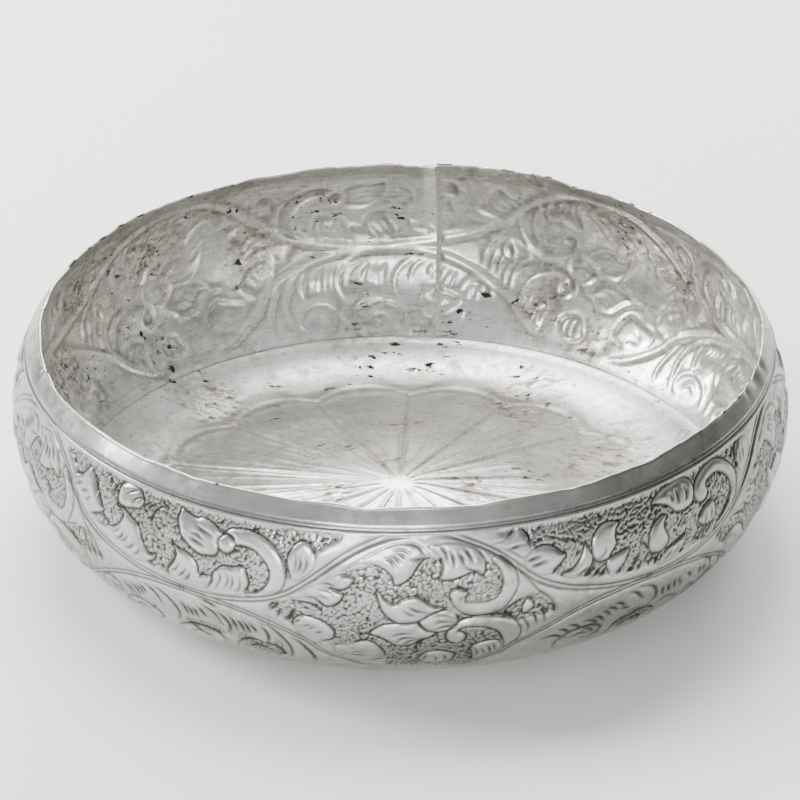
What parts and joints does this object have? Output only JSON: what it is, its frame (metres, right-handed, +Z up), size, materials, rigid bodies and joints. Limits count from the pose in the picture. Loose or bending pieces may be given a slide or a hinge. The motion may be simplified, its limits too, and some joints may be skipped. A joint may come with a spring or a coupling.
{
  "type": "offering bowl",
  "caption": "Wide round-bellied bowl of chased sheet silver with an in-curving shoulder, plain collar and pushed-up base, for offerings.",
  "frame": {"origin": "centre of the flat ring that the bowl stands on", "axes": "+Z up along the bowl's axis, the wall's lap seam towards +Y"},
  "size_m": [0.26, 0.26, 0.0742],
  "materials": {
    "wall_silver": "chased silver, tarnished in the hollows",
    "base_silver": "planished silver, worn bright, scratched",
    "solder": "silver solder, dull and smooth"
  },
  "bodies": {
    "root": {"wall_sheet": "wall_silver", "base_dish": "base_silver", "seam_solder": "solder", "base_solder": "solder"}
  },
  "joints": []
}
